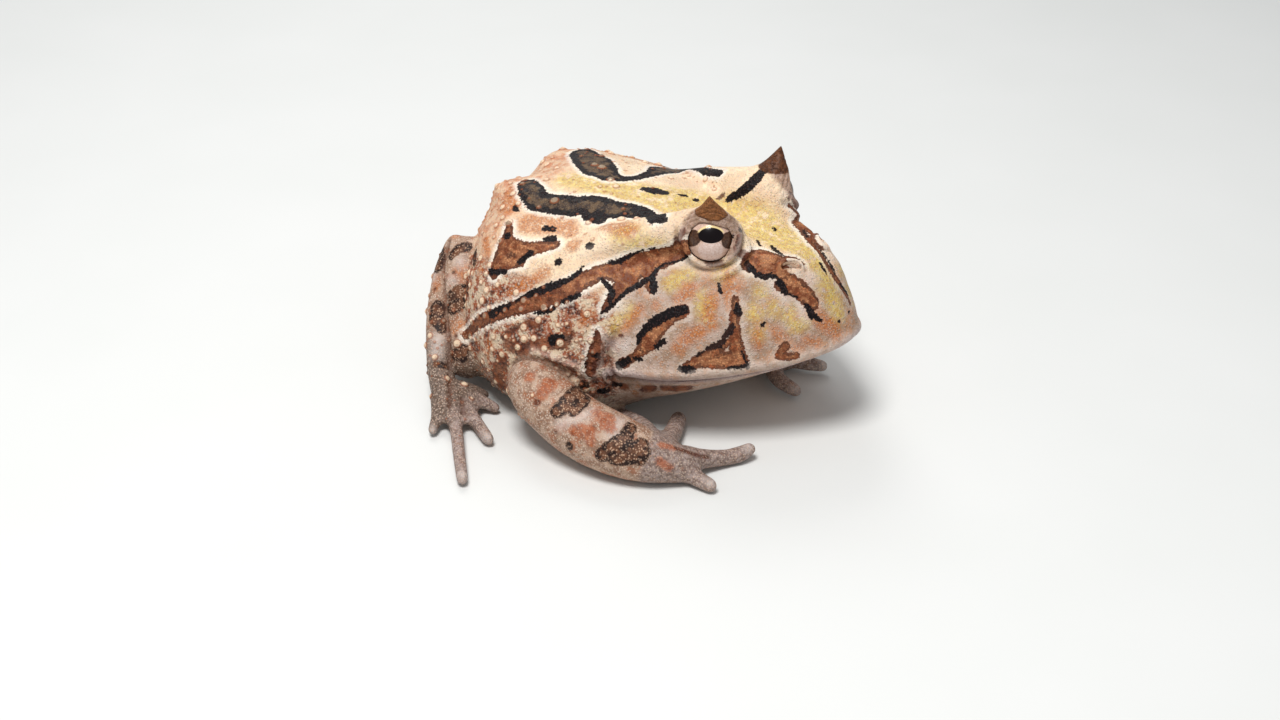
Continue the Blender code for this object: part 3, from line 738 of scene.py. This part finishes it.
def wart_chance(points, limb):
    """How likely warts are: most on the flanks, then the rump, and few on the back and limbs."""
    x, y, z = points.T
    aside = np.abs(y)
    want = 3 * smooth((aside - 22) / 6) * smooth((33 - z) / 6) * smooth((5 - x) / 5)
    want += 0.55 * smooth((-18 - x) / 10) * smooth((aside - 4) / 8)
    want += 0.16 * smooth((z - 36) / 4) * smooth((20 - x) / 20)
    want *= smooth((z - 2.5) / 3)
    return want * (1 - 0.93 * limb)


def tree_of_points(points):
    tree = KDTree(len(points))
    for number, place in enumerate(points):
        tree.insert(place, number)
    tree.balance()
    return tree


def place_warts(points, want):
    """Scatters warts that keep apart: the point each one sits on, and its radius."""
    chance = np.random.default_rng(7)
    order = chance.permutation(len(points))
    order = order[chance.random(len(order)) < want[order] * WART_SHARE]
    near = tree_of_points(points[order])
    blocked = np.zeros(len(order), bool)
    warts = []
    for number, index in enumerate(order):
        if blocked[number]:
            continue
        radius = WART_RADIUS + WART_SPREAD * chance.random() ** 2.5
        warts.append((index, radius))
        for _, other, _ in near.find_range(points[index], radius * WART_SPACING):
            blocked[other] = True
    return warts


def raise_warts(mesh, limb):
    """Raises cone-shaped warts. Returns how much of a wart each point is, from 0 to 1."""
    points = points_of(mesh) / MM
    near = tree_of_points(points)
    bulk = np.zeros(len(points))
    for index, radius in place_warts(points, wart_chance(points, limb)):
        for _, other, away in near.find_range(points[index], radius):
            bulk[other] = max(bulk[other], radius * (1 - (away / radius) ** 1.5))
    points += normals_of(mesh) * (bulk * WART_HEIGHT)[:, None]
    set_points(mesh, points * MM)
    return np.clip(bulk, 0, 1)


def node_shares(mesh):
    """How much each point of the skin belongs to the limbs, to the hands and feet, and to the horns."""
    corners, faces, counts = solids_of(FLESH)
    owner = []
    for name, count in zip(FLESH, counts):
        limb = not name.startswith(("torso", "head", "lower_jaw", "horn"))
        tip = name.startswith(("hand", "foot"))
        horn = name.startswith("horn")
        owner += [(limb, tip, horn)] * count
    tree = BVHTree.FromPolygons(corners, faces)
    found = vector([owner[tree.find_nearest(Vector(p))[2]] for p in points_of(mesh) / MM]).T
    return [spread(mesh, share, 8) for share in found]


def mark_skin(skin, shares, relief, sunk, warts):
    """Stores where each mark of the skin lies: distances in mm, or shares from 0 to 1."""
    mesh = skin.data
    points = points_of(mesh) / MM
    tree = tree_of(mesh)

    def distance(strokes):
        return stroke_distance(points, snapped(strokes, tree))

    def patch(strokes):
        return smooth(0.5 - distance(strokes) / 4)

    black = both_sides(BLACK + LID_STREAK) + mirrored(LID_MARKS) + BLACK_ONCE + BACK_SPOTS
    rusty = both_sides(RUSTY + LEG_RUSTY) + ARM_RUSTY + LID_FOOT + LID_MARKS
    attribute(mesh, "band", distance(BANDS))
    attribute(mesh, "stripe", distance(both_sides(STRIPES + SNOUT_PATCH) + FAR_SNOUT))
    attribute(mesh, "black", distance(black))
    # The dark flank marks, partly painted shade under the lower jaw and in the armpit.
    attribute(mesh, "flank", distance(both_sides(FLANK)))
    attribute(mesh, "rusty", distance(rusty))
    attribute(mesh, "limb_dark", distance(ARM_DARK + both_sides(LEG_DARK)))
    attribute(mesh, "limb_spot", distance(both_sides(ARM_ORANGE)))
    attribute(mesh, "pale", patch(both_sides(PALE + LEG_PALE) + ARM_PALE + TIPS))
    attribute(mesh, "orange", distance(both_sides(ORANGE + LEG_ORANGE)))
    attribute(mesh, "yellow", patch(both_sides(YELLOW) + YELLOW_BACK))
    attribute(mesh, "rim", distance(both_sides(NOSTRIL_RIM)))
    # The line of the mouth, later painted dark as shade in its slit.
    attribute(mesh, "mouth", distance(mouth_line()))
    # Painted shade: the grooves are darkened by how deep they were pressed.
    attribute(mesh, "groove_shade", np.clip(-sunk / 0.6, 0, 1))
    # Pale on raised relief: partly the pale rims of the skin, partly painted highlight.
    attribute(mesh, "ridge", np.clip(relief / 0.45, 0, 1))
    attribute(mesh, "wart", warts)
    lip = smooth((2.0 - distance(mouth_line(1.5))) / 1.2)
    mark_regions(mesh, points, lip, *shares)


def mark_regions(mesh, points, lip, limb, tip, horn):
    """Stores the regions that have colours of their own, and the underside that gets painted shade, as
    shares from 0 to 1.
    """
    x, y, z = points.T
    body = 1 - limb
    attribute(mesh, "lip", lip * body)
    attribute(mesh, "limb", limb)
    attribute(mesh, "tip", tip)
    attribute(mesh, "hind", limb * smooth((-20 - x) / 6) * smooth((16 - z) / 5))
    attribute(mesh, "cheek", smooth((x - 4) / 5) * smooth((42 - z) / 6) * body)
    # The underside of the body, fullest near the floor, where painted shade goes.
    attribute(mesh, "under", smooth((14 - z) / 8) * body)
    side = smooth((np.abs(y) - 19) / 7) * smooth((35 - z) / 4) * smooth((10 - x) / 4)
    side = np.maximum(side, smooth((-27 - x) / 6) * smooth((33 - z) / 8))
    attribute(mesh, "side", side * body)
    attribute(mesh, "rump", smooth((-19 - x) / 9) * body)
    lid = np.zeros(len(points))
    for way in (-1, 1):
        _, _, out, ring = eye_frame(points, way)
        lid = np.maximum(lid, smooth((7.3 - ring) / 1.2) * smooth((out - 1) / 1.5))
        inner = (y * way > 0) & (out < -0.5)
        horn[inner] *= smooth((z[inner] - 50.5) / 1.5)
    attribute(mesh, "lid", lid)
    attribute(mesh, "horn", horn * smooth((z - 47.5) / 2) * (1 - 0.45 * smooth((y - 5) / 2)))


def colour(red, green, blue):
    """Linear colour from screen values of 0 to 255."""
    def linear(value):
        value /= 255
        return value / 12.92 if value <= 0.04045 else ((value + 0.055) / 1.055) ** 2.4
    return (linear(red), linear(green), linear(blue))


class Shader:
    """Writes the nodes of one material; each call gives an output socket."""

    def __init__(self, name):
        self.material = bpy.data.materials.new(name)
        self.material.use_nodes = True
        self.nodes = self.material.node_tree.nodes
        self.links = self.material.node_tree.links
        self.surface = self.nodes["Principled BSDF"]
        self.place = self.nodes.new("ShaderNodeTexCoord").outputs["Object"]

    def put(self, socket, value):
        if isinstance(value, bpy.types.NodeSocket):
            self.links.new(value, socket)
        elif isinstance(value, tuple) and len(value) == 3 and socket.type == "RGBA":
            socket.default_value = (*value, 1)
        else:
            socket.default_value = value

    def held(self, name):
        node = self.nodes.new("ShaderNodeAttribute")
        node.attribute_name = name
        return node.outputs["Fac"]

    def noise(self, per_mm, detail=2.0, rough=0.5):
        node = self.nodes.new("ShaderNodeTexNoise")
        self.put(node.inputs["Vector"], self.place)
        node.inputs["Scale"].default_value = per_mm / MM
        node.inputs["Detail"].default_value = detail
        node.inputs["Roughness"].default_value = rough
        return node.outputs["Fac"]

    def cells(self, per_mm):
        node = self.nodes.new("ShaderNodeTexVoronoi")
        self.put(node.inputs["Vector"], self.place)
        node.inputs["Scale"].default_value = per_mm / MM
        return node.outputs["Distance"]

    def math(self, kind, a, b=0.0, c=0.0):
        node = self.nodes.new("ShaderNodeMath")
        node.operation = kind
        for socket, value in zip(node.inputs, (a, b, c)):
            self.put(socket, value)
        return node.outputs[0]

    def both(self, a, b):
        return self.math("MULTIPLY", a, b)

    def step(self, value, start, end):
        """0 up to start, 1 from end on, eased between; start may be above end."""
        node = self.nodes.new("ShaderNodeMapRange")
        node.interpolation_type = "SMOOTHSTEP"
        low, high = min(start, end), max(start, end)
        self.put(node.inputs["Value"], value)
        node.inputs["From Min"].default_value = low
        node.inputs["From Max"].default_value = high
        node.inputs["To Min"].default_value = 0 if start < end else 1
        node.inputs["To Max"].default_value = 1 if start < end else 0
        return node.outputs["Result"]

    def mix(self, amount, a, b, kind="MIX"):
        """A Mix node has its sockets once for each kind of data; these are those of colours."""
        factor, first, second, result = 0, 6, 7, 2
        node = self.nodes.new("ShaderNodeMix")
        node.data_type = "RGBA"
        node.blend_type = kind
        self.put(node.inputs[factor], amount)
        self.put(node.inputs[first], a)
        self.put(node.inputs[second], b)
        return node.outputs[result]

    def bump(self, height, strength, distance, under=None):
        node = self.nodes.new("ShaderNodeBump")
        self.put(node.inputs["Height"], height)
        node.inputs["Strength"].default_value = strength
        node.inputs["Distance"].default_value = distance * MM
        if under is not None:
            self.put(node.inputs["Normal"], under)
        return node.outputs["Normal"]


class SkinShader(Shader):
    """The frog's skin: a coat over which each function below paints more colours."""

    def __init__(self):
        super().__init__("frog_skin")
        self.mottle = self.noise(0.3, 4, 0.7)
        self.patch = self.noise(0.5, 3, 0.6)
        self.ragged = self.noise(1.1, 3, 0.65)
        self.grain = self.noise(2.6, 2, 0.6)
        self.granule = self.cells(1.9)
        self.top = self.step(self.granule, 0.5, 0.15)
        self.pebble = self.step(self.cells(1.0), 0.5, 0.1)
        self.uneven = self.math("MULTIPLY_ADD", self.patch, 4, -2)
        wobble = self.math("ADD", self.both(self.ragged, 0.7), self.both(self.granule, 0.45))
        self.wobble = self.math("MULTIPLY_ADD", wobble, 1.2, -0.72)
        self.cheek = self.held("cheek")
        self.side = self.held("side")
        self.limb = self.held("limb")
        self.stripe = self.shore("stripe")
        self.band = self.shore("band")
        self.patched = self.shore("limb_dark", 1.2, 0.2)
        nearest = self.math("MINIMUM", self.held("band"), self.held("stripe"))
        self.edge = self.math("ADD", nearest, self.wobble)
        self.coat = self.blend((244, 218, 184), (232, 200, 166), by=self.noise(0.22, 3))

    def over(self, under, amount, paint, strength=1.0):
        return self.mix(self.both(amount, strength), under, paint)

    def paint(self, amount, paint, strength=1.0):
        self.coat = self.over(self.coat, amount, paint, strength)

    def blend(self, first, second, low=0.38, high=0.62, by=None):
        """Patches of two colours, given as screen values."""
        share = self.step(self.patch if by is None else by, low, high)
        return self.mix(share, colour(*first), colour(*second))

    def shore(self, mark, rough=1.0, width=0.12):
        """1 inside a mark, 0 outside it, along a ragged shore."""
        away = self.math("ADD", self.held(mark), self.both(self.wobble, rough))
        return self.step(away, width, -width)


def paint_ground(s):
    """The ground colours of the cheeks, rump, sides and limbs, and painted shade on the underside of the
    body.
    """
    s.paint(s.cheek, s.blend((190, 164, 148), (164, 134, 112)))
    s.paint(s.both(s.cheek, s.step(s.mottle, 0.5, 0.6)), colour(188, 120, 66), 0.5)
    s.paint(s.held("rump"), s.blend((222, 184, 150), (200, 130, 92)), 0.9)
    s.paint(s.side, s.blend((206, 182, 154), (144, 70, 38), 0.44, 0.51, s.mottle), 0.95)
    s.paint(s.both(s.side, s.step(s.mottle, 0.55, 0.6)), colour(62, 30, 24), 0.9)
    s.paint(s.limb, s.blend((188, 158, 136), (144, 112, 92)))
    s.paint(s.both(s.limb, s.step(s.mottle, 0.52, 0.6)), colour(160, 92, 56), 0.6)
    s.paint(s.both(s.limb, s.top), colour(220, 196, 178), 0.6)
    s.paint(s.held("tip"), s.blend((166, 146, 138), (124, 102, 92), by=s.ragged))
    s.paint(s.held("hind"), s.blend((118, 99, 86), (88, 72, 60), by=s.ragged), 0.85)
    # Painted shade on the underside of the body.
    s.paint(s.held("under"), s.blend((168, 146, 128), (116, 92, 80)), 0.8)


def paint_tints(s):
    """Clouds of yellow, orange and white, fine flecks and granules, and the lids and lips."""
    yellow = s.both(s.held("yellow"), s.step(s.patch, 0.3, 0.5))
    s.paint(yellow, s.blend((222, 196, 108), (196, 158, 84), by=s.ragged), 0.85)
    orange = s.both(s.shore("orange", 2.2, 0.9), s.step(s.ragged, 0.3, 0.5))
    s.paint(orange, s.blend((204, 124, 62), (158, 84, 38), by=s.grain), 0.75)
    s.paint(s.held("pale"), colour(226, 212, 204), 0.6)
    speckled = s.both(s.step(s.grain, 0.52, 0.68), s.step(s.patch, 0.5, 0.6))
    s.paint(speckled, colour(190, 124, 80), 0.4)
    s.paint(s.step(s.cells(2.3), 0.19, 0.12), colour(150, 92, 56), 0.4)
    s.paint(s.step(s.granule, 0.45, 0.2), colour(140, 100, 74), 0.2)
    s.paint(s.top, colour(250, 238, 226), 0.25)
    s.paint(s.both(s.pebble, s.side), colour(246, 226, 204), 0.4)
    s.paint(s.held("lid"), s.blend((176, 146, 132), (134, 100, 82), by=s.ragged), 0.85)
    s.paint(s.held("lip"), s.blend((198, 178, 174), (184, 162, 158)), 0.85)


def paint_stripes(s):
    """The brown stripes with their pale margins and dark rims, the brown spots, and the dark flank marks,
    partly painted shade under the lower jaw and in the armpit.
    """
    margin = s.both(s.step(s.edge, 1.5, 0.3), s.math("MULTIPLY_ADD", s.cheek, -0.75, 1))
    s.paint(margin, colour(242, 230, 214), 0.8)
    rust = s.blend((122, 64, 34), (204, 142, 98))
    behind = s.math("MAXIMUM", s.side, s.held("rump"))
    rust = s.over(rust, behind, s.blend((84, 48, 32), (134, 76, 44)), 0.75)
    rust = s.over(rust, s.step(s.granule, 0.3, 0.55), colour(104, 56, 36), 0.5)
    rust = s.over(rust, s.step(s.ragged, 0.56, 0.68), colour(196, 104, 56), 0.5)
    s.paint(s.stripe, rust)
    shore = s.math("ADD", s.held("stripe"), s.wobble)
    rim = s.step(s.math("ADD", shore, s.uneven), -0.75, -0.3)
    s.paint(s.both(s.stripe, rim), s.blend((92, 48, 32), (44, 22, 18), by=s.ragged), 0.8)
    # Dark flank marks, partly painted shade under the lower jaw and in the armpit.
    s.paint(s.shore("flank", 1.5, 0.4), s.blend((78, 40, 28), (132, 76, 48)), 0.92)
    s.paint(s.shore("rusty", 1, 0.3), s.blend((104, 50, 30), (66, 34, 24), by=s.ragged), 0.9)


def paint_bands(s):
    """The olive bands of the back with their dark rims, and the black marks, one of them painted shade
    under the lower jaw.
    """
    olive = s.blend((100, 78, 56), (54, 38, 30))
    olive = s.over(olive, s.top, colour(150, 124, 94), 0.35)
    s.paint(s.band, olive)
    dark = s.blend((46, 24, 22), (10, 3, 4), 0.15, 0.5, s.granule)
    rim = s.step(s.math("ADD", s.held("band"), s.both(s.uneven, 1.2)), -2.2, -1.2)
    s.paint(s.both(s.band, rim), dark)
    # Black marks, one of them painted shade under the lower jaw.
    s.paint(s.shore("black", 1.2), dark)


def paint_limbs(s):
    """The dark patches of the limbs with their rims, and the orange spots of the arms."""
    mottled = s.mix(s.top, s.blend((110, 68, 44), (66, 42, 32)), colour(184, 144, 116))
    s.paint(s.patched, mottled, 0.95)
    rim = s.step(s.math("ADD", s.held("limb_dark"), s.uneven), -1.0, -0.4)
    s.paint(s.both(s.patched, rim), colour(28, 14, 12), 0.85)
    s.paint(s.shore("limb_spot", 1.6, 0.5), s.blend((176, 96, 54), (140, 68, 38), by=s.ragged), 0.75)
    s.paint(s.both(s.limb, s.top), colour(222, 184, 156), 0.35)


def paint_warts(s):
    """Warts, brown at the foot and pale at the tip, which is weaker on the dark marks."""
    wart = s.held("wart")
    s.paint(s.both(s.step(wart, 0.05, 0.3), s.step(wart, 0.75, 0.45)), colour(160, 88, 52), 0.55)
    marked = s.math("MAXIMUM", s.stripe, s.math("MAXIMUM", s.band, s.patched))
    tipped = s.both(s.step(wart, 0.35, 0.7), s.math("MULTIPLY_ADD", marked, -0.6, 1))
    s.paint(tipped, colour(240, 212, 180), 0.85)


def paint_horns(s):
    """The brown points of the lids, lighter towards the tip."""
    high = s.math("MULTIPLY_ADD", s.ragged, 0.5, s.math("SUBTRACT", s.held("horn"), 0.25))
    s.paint(s.step(high, 0.05, 0.5), s.blend((70, 40, 24), (104, 62, 36), by=s.ragged))
    s.paint(s.step(high, 0.55, 1.05), s.blend((150, 96, 56), (112, 70, 36), by=s.grain))


def paint_creases(s):
    """Pale ridges, partly painted highlight; painted shade in the grooves; the rims of the nostrils; and
    the line of the mouth, painted dark as shade in its slit.
    """
    # Pale on raised relief, partly painted highlight on the ridges.
    s.paint(s.both(s.held("ridge"), s.step(s.edge, -0.3, 0.3)), colour(224, 204, 190), 0.3)
    # Painted shade in the grooves.
    s.paint(s.held("groove_shade"), colour(92, 54, 38), 0.6)
    s.paint(s.step(s.held("rim"), 0.4, 0.1), colour(234, 204, 176), 0.85)
    # Painted shade along the slit of the mouth.
    s.paint(s.step(s.held("mouth"), 0.4, 0.15), colour(46, 26, 26), 0.95)


def skin_material():
    s = SkinShader()
    for paint in (paint_ground, paint_tints, paint_stripes, paint_bands, paint_limbs, paint_warts,
                  paint_horns, paint_creases):
        paint(s)
    dust = s.noise(6, 2, 0.7)
    shade = s.math("MULTIPLY_ADD", dust, 0.36, 0.82)
    s.put(s.surface.inputs["Base Color"], s.mix(1.0, s.coat, shade, "MULTIPLY"))
    s.put(s.surface.inputs["Roughness"], s.math("MULTIPLY_ADD", s.grain, 0.25, 0.36))
    s.surface.inputs["Specular IOR Level"].default_value = 0.2
    s.surface.inputs["Subsurface Weight"].default_value = 0.06
    s.surface.inputs["Subsurface Scale"].default_value = 1 * MM
    s.surface.inputs["Subsurface Radius"].default_value = (1, 0.4, 0.2)
    rough = s.bump(s.both(s.pebble, s.math("ADD", s.side, 0.4)), 0.7, 0.3)
    rough = s.bump(s.top, 0.7, 0.17, rough)
    s.put(s.surface.inputs["Normal"], s.bump(s.grain, 0.6, 0.1, rough))
    return s.material


def build_eye(name, side):
    """A ball whose mesh carries how far each point lies across and up the iris."""
    _, across, up = eye_axes(side)
    build = bmesh.new()
    bmesh.ops.create_icosphere(build, subdivisions=6, radius=1)
    mesh = bpy.data.meshes.new(name)
    centre = Vector((EYE_CENTRE[0], EYE_CENTRE[1] * side, EYE_CENTRE[2]))
    places = []
    for v in build.verts:
        spot = v.co.copy()
        places.append((spot @ across, spot @ up))
        v.co = (centre + spot * (EYE_RADIUS - BALL_INSET)) * MM
    build.to_mesh(mesh)
    build.free()
    for word, values in zip(("across", "up"), vector(places).T):
        attribute(mesh, word, values)
    mesh.shade_smooth()
    return object_of(name, mesh)


def eye_material():
    """A pale iris, brown in front of and behind the lying oval of the pupil, with a thin bright ring."""
    s = Shader("frog_eye")
    across = s.held("across")
    up = s.held("up")
    fleck = s.noise(2.5, 4, 0.65)
    blur = s.math("MULTIPLY_ADD", s.noise(1.2, 3), 0.3, -0.15)

    def oval(x, y, wide, tall):
        """1 on an oval of the iris, less inside it. The eye's radius is 1."""
        a = s.math("DIVIDE", s.math("SUBTRACT", across, x), wide)
        b = s.math("DIVIDE", s.math("SUBTRACT", up, y), tall)
        return s.math("SQRT", s.math("ADD", s.both(a, a), s.both(b, b)))

    iris = s.mix(s.step(fleck, 0.35, 0.65), colour(196, 160, 140), colour(222, 190, 172))
    low = s.mix(s.step(fleck, 0.3, 0.7), colour(236, 214, 204), colour(214, 180, 164))
    iris = s.mix(s.step(s.math("ADD", oval(0, -0.62, 0.5, 0.42), blur), 1.05, 0.9), iris, low)
    brown = s.mix(s.step(fleck, 0.35, 0.65), colour(60, 36, 28), colour(92, 64, 46))
    for x, y, wide, tall in ((-0.72, -0.12, 0.32, 0.34), (0.72, -0.2, 0.32, 0.34)):
        iris = s.mix(s.step(s.math("ADD", oval(x, y, wide, tall), blur), 1.06, 0.94), iris, brown)
    ring = s.both(s.step(oval(0, -0.02, 0.56, 0.39), 1.02, 0.98), s.step(up, 0.05, 0.15))
    iris = s.mix(ring, iris, colour(232, 206, 150))
    pupil = s.step(oval(0, -0.03, 0.5, 0.31), 1.03, 0.98)
    s.put(s.surface.inputs["Base Color"], s.mix(pupil, iris, colour(14, 6, 8)))
    s.surface.inputs["Roughness"].default_value = 0.3
    s.surface.inputs["Specular IOR Level"].default_value = 0.1
    s.surface.inputs["Coat Weight"].default_value = 0.3
    s.surface.inputs["Coat Roughness"].default_value = 0.02
    return s.material


def build_floor():
    """A pale floor 6 m wide."""
    build = bmesh.new()
    bmesh.ops.create_grid(build, x_segments=2, y_segments=2, size=3)
    mesh = bpy.data.meshes.new("floor")
    build.to_mesh(mesh)
    build.free()
    floor = object_of("floor", mesh)
    s = Shader("pale_floor")
    shade = s.mix(s.noise(0.02, 2), colour(226, 226, 222), colour(232, 231, 228))
    s.put(s.surface.inputs["Base Color"], shade)
    s.surface.inputs["Roughness"].default_value = 0.8
    mesh.materials.append(s.material)


def light(name, place, metres, watts, aim=(0, 0, 20)):
    """A round lamp at a place in mm, turned to another, with its width in metres."""
    lamp = bpy.data.lights.new(name, "AREA")
    lamp.shape = "DISK"
    lamp.size = metres
    lamp.energy = watts
    holder = object_of(name, lamp)
    holder.location = Vector(place) * MM
    holder.rotation_euler = (Vector(aim) - Vector(place)).to_track_quat("-Z", "Y").to_euler()


def build_camera():
    """The camera that the photograph was taken with, as it was fitted."""
    place, _, _, back = camera_frame()
    view = bpy.data.cameras.new("camera")
    view.sensor_width = 36
    view.lens = view.sensor_width * PHOTO_FOCAL / PHOTO_WIDTH
    view.clip_start = 0.01
    camera = object_of("camera", view)
    camera.location = place * MM
    camera.rotation_euler = back.to_track_quat("Z", "Y").to_euler()
    bpy.context.scene.camera = camera


def build_lights():
    light("key", (40, -230, 560), 0.22, 2.9)
    light("rim", (-300, 260, 420), 0.30, 0.9)
    world = bpy.data.worlds.new("studio")
    world.use_nodes = True
    background = world.node_tree.nodes["Background"]
    background.inputs["Color"].default_value = (0.9, 0.95, 1, 1)
    background.inputs["Strength"].default_value = 0.38
    bpy.context.scene.world = world
    bpy.context.scene.view_settings.view_transform = "Standard"


skin = build_skin()
shape_skin(skin)
refine(skin)
shares = node_shares(skin.data)
mark_skin(skin, shares, *sculpt_skin(skin, shares[0]))
skin.data.shade_smooth()
skin.data.materials.clear()
skin.data.materials.append(skin_material())
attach(skin, "root")
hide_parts(*FLESH)

glossy = eye_material()
for name, side in (("right", -1), ("left", 1)):
    ball = build_eye("eyeball_" + name, side)
    ball.data.materials.append(glossy)
    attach(ball, "root")
    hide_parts("eye_" + name)

build_floor()
build_camera()
build_lights()
